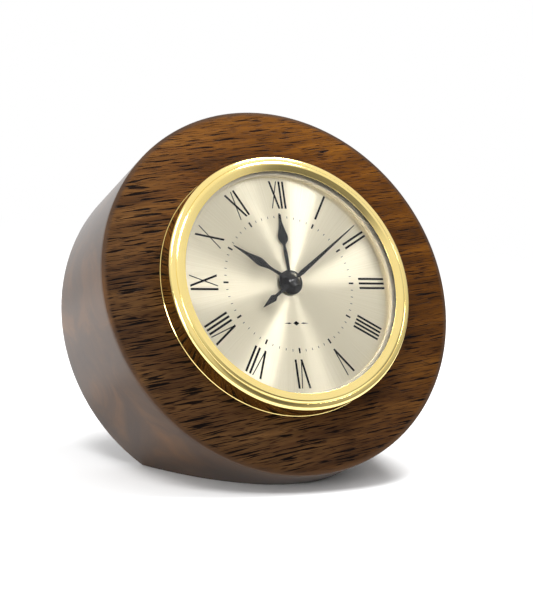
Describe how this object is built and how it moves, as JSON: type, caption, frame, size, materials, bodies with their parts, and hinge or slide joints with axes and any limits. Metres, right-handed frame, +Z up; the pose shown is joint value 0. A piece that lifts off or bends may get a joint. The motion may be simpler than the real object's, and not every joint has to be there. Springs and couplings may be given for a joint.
{
  "type": "desk clock",
  "caption": "Round wooden desk clock leaning back on a flat base, with a brass alarm clock insert, domed glass and Roman dial.",
  "frame": {"origin": "centre of the bounding box's bottom, on the table under the clock", "axes": "+Z up, +X to the right seen from the front, the dial faces -Y and leans back"},
  "size_m": [0.102, 0.0762, 0.0958],
  "materials": {
    "walnut": "open-grain walnut, oiled satin",
    "polished_brass": "polished and lacquered",
    "clear_glass": "clear domed mineral glass",
    "black_rubber": "matte",
    "silvered_ring": "satin silvered",
    "champagne_dial": "sunburst brushed champagne",
    "black_plastic": "fine moulded texture",
    "grey_plastic": "moulded",
    "white_plastic": "moulded acetal",
    "spring_bronze": "rolled strip",
    "zinc_steel": "zinc plated",
    "gear_brass": "stamped",
    "dark_magnet": "sintered",
    "copper_wire": "enamelled copper winding",
    "green_board": "solder resist",
    "bright_nickel": "nickel plated",
    "battery_wrap": "plain dark sleeve",
    "black_hand": "gloss black"
  },
  "bodies": {
    "base": {"wood_body": "walnut"},
    "insert": {"bezel": "polished_brass", "lens": "clear_glass", "lens_gasket": "black_rubber", "spacer_ring": "silvered_ring", "dial": "champagne_dial", "front_plate": "black_plastic", "alarm_contact": "spring_bronze", "middle_plate": "grey_plastic", "rear_plate": "grey_plastic", "insert_cup": "black_plastic", "grip_ring": "black_rubber", "plate_screws": "zinc_steel", "stator": "zinc_steel", "coil_core": "zinc_steel", "coil_bobbin": "grey_plastic", "coil_winding": "copper_wire", "circuit_board": "green_board", "quartz_crystal": "bright_nickel", "chip_cover": "black_plastic", "sounder_disc": "gear_brass", "battery": "battery_wrap", "contact_plus": "bright_nickel", "contact_minus": "bright_nickel", "door_pin": "zinc_steel"},
    "minute_works": {"minute_hand": "black_hand", "hand_cap": "black_hand", "minute_arbor": "zinc_steel"},
    "hour_works": {"hour_hand": "black_hand", "hour_wheel": "white_plastic"},
    "alarm_works": {"alarm_hand": "black_hand", "alarm_wheel": "white_plastic"},
    "time_setting": {"motion_wheel": "white_plastic", "time_knob": "black_plastic"},
    "alarm_setting": {"setting_pinion": "white_plastic", "alarm_knob": "black_plastic"},
    "centre_drive": {"centre_wheel": "gear_brass"},
    "third_drive": {"third_wheel": "gear_brass"},
    "second_drive": {"second_wheel": "gear_brass"},
    "intermediate_drive": {"intermediate_wheel": "gear_brass"},
    "rotor": {"rotor_pinion": "white_plastic", "rotor_magnet": "dark_magnet"},
    "door": {"battery_door": "black_plastic"},
    "switch": {"switch_slider": "white_plastic", "alarm_switch": "white_plastic"}
  },
  "joints": [
    {"name": "insert_pull", "type": "slide", "parent": "base", "child": "insert", "axis": [0, -0.891, 0.454], "range_m": [0, 0.03]},
    {"name": "minute_turn", "type": "hinge", "parent": "insert", "child": "minute_works", "pos_m": [0, -0.01515, 0.0505], "axis": [0, 0.891, -0.454], "continuous": true},
    {"name": "hour_turn", "type": "hinge", "parent": "insert", "child": "hour_works", "pos_m": [0, -0.01515, 0.0505], "axis": [0, 0.891, -0.454], "continuous": true},
    {"name": "time_knob_turn", "type": "hinge", "parent": "insert", "child": "time_setting", "pos_m": [-0.00752, -0.0139, 0.05294], "axis": [0, 0.891, -0.454], "continuous": true},
    {"name": "alarm_turn", "type": "hinge", "parent": "insert", "child": "alarm_works", "pos_m": [0, -0.01515, 0.0505], "axis": [0, 0.891, -0.454], "continuous": true},
    {"name": "alarm_knob_turn", "type": "hinge", "parent": "insert", "child": "alarm_setting", "pos_m": [0.00846, -0.01375, 0.05324], "axis": [0, 0.891, -0.454], "continuous": true},
    {"name": "rotor_turn", "type": "hinge", "parent": "insert", "child": "rotor", "pos_m": [0.00465, -0.00761, 0.06529], "axis": [0, 0.891, -0.454], "continuous": true},
    {"name": "intermediate_turn", "type": "hinge", "parent": "insert", "child": "intermediate_drive", "pos_m": [-0.00095, -0.00761, 0.06529], "axis": [0, 0.891, -0.454], "continuous": true},
    {"name": "second_turn", "type": "hinge", "parent": "insert", "child": "second_drive", "pos_m": [-0.00481, -0.0097, 0.0612], "axis": [0, 0.891, -0.454], "continuous": true},
    {"name": "third_turn", "type": "hinge", "parent": "insert", "child": "third_drive", "pos_m": [0, -0.01188, 0.05692], "axis": [0, 0.891, -0.454], "continuous": true},
    {"name": "centre_turn", "type": "hinge", "parent": "insert", "child": "centre_drive", "pos_m": [0, -0.01515, 0.0505], "axis": [0, 0.891, -0.454], "continuous": true},
    {"name": "door_hinge", "type": "hinge", "parent": "insert", "child": "door", "pos_m": [0, 0.00009, 0.03602], "axis": [1, 0, 0], "range_deg": [0, 95]},
    {"name": "switch_slide", "type": "slide", "parent": "insert", "child": "switch", "axis": [0, 0.454, 0.891], "range_m": [0, 0.003]}
  ],
  "couplings": [
    {"joint": "hour_turn", "follows": "minute_turn", "ratio": 0.083333},
    {"joint": "time_knob_turn", "follows": "minute_turn", "ratio": -0.33333},
    {"joint": "alarm_knob_turn", "follows": "alarm_turn", "ratio": -3.5},
    {"joint": "intermediate_turn", "follows": "rotor_turn", "ratio": -0.16667},
    {"joint": "second_turn", "follows": "rotor_turn", "ratio": 0.033333},
    {"joint": "third_turn", "follows": "rotor_turn", "ratio": -0.0044444},
    {"joint": "centre_turn", "follows": "rotor_turn", "ratio": 0.00055556}
  ]
}
